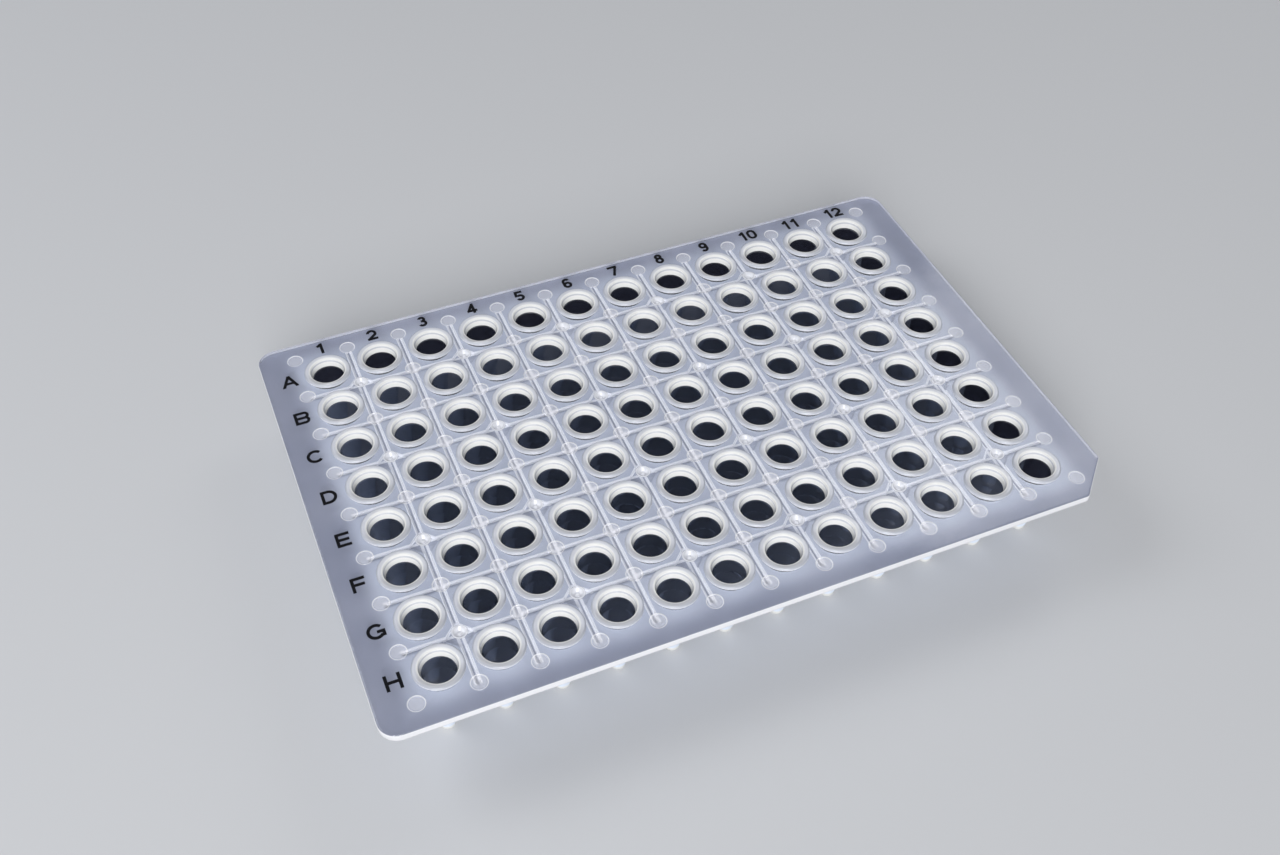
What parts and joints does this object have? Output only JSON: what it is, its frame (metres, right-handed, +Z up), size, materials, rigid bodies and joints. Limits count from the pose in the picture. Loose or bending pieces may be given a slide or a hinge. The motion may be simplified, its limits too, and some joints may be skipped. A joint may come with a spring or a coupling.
{
  "type": "well plate",
  "caption": "Low-profile plate of thin conical wells hanging from a flat ribbed deck, with raised rims, a cut corner and printed row and column indices.",
  "frame": {"origin": "under the middle of the plate, in the plane of the well tips", "axes": "+Z up out of the wells, +X along the numbered columns, +Y towards row A"},
  "size_m": [0.12, 0.08, 0.0152],
  "materials": {
    "polypropylene": "translucent natural polypropylene, satin",
    "ink": "black pad-printed ink"
  },
  "bodies": {
    "root": {"plate": "polypropylene", "row_letters": "ink", "column_numbers": "ink"}
  },
  "joints": []
}
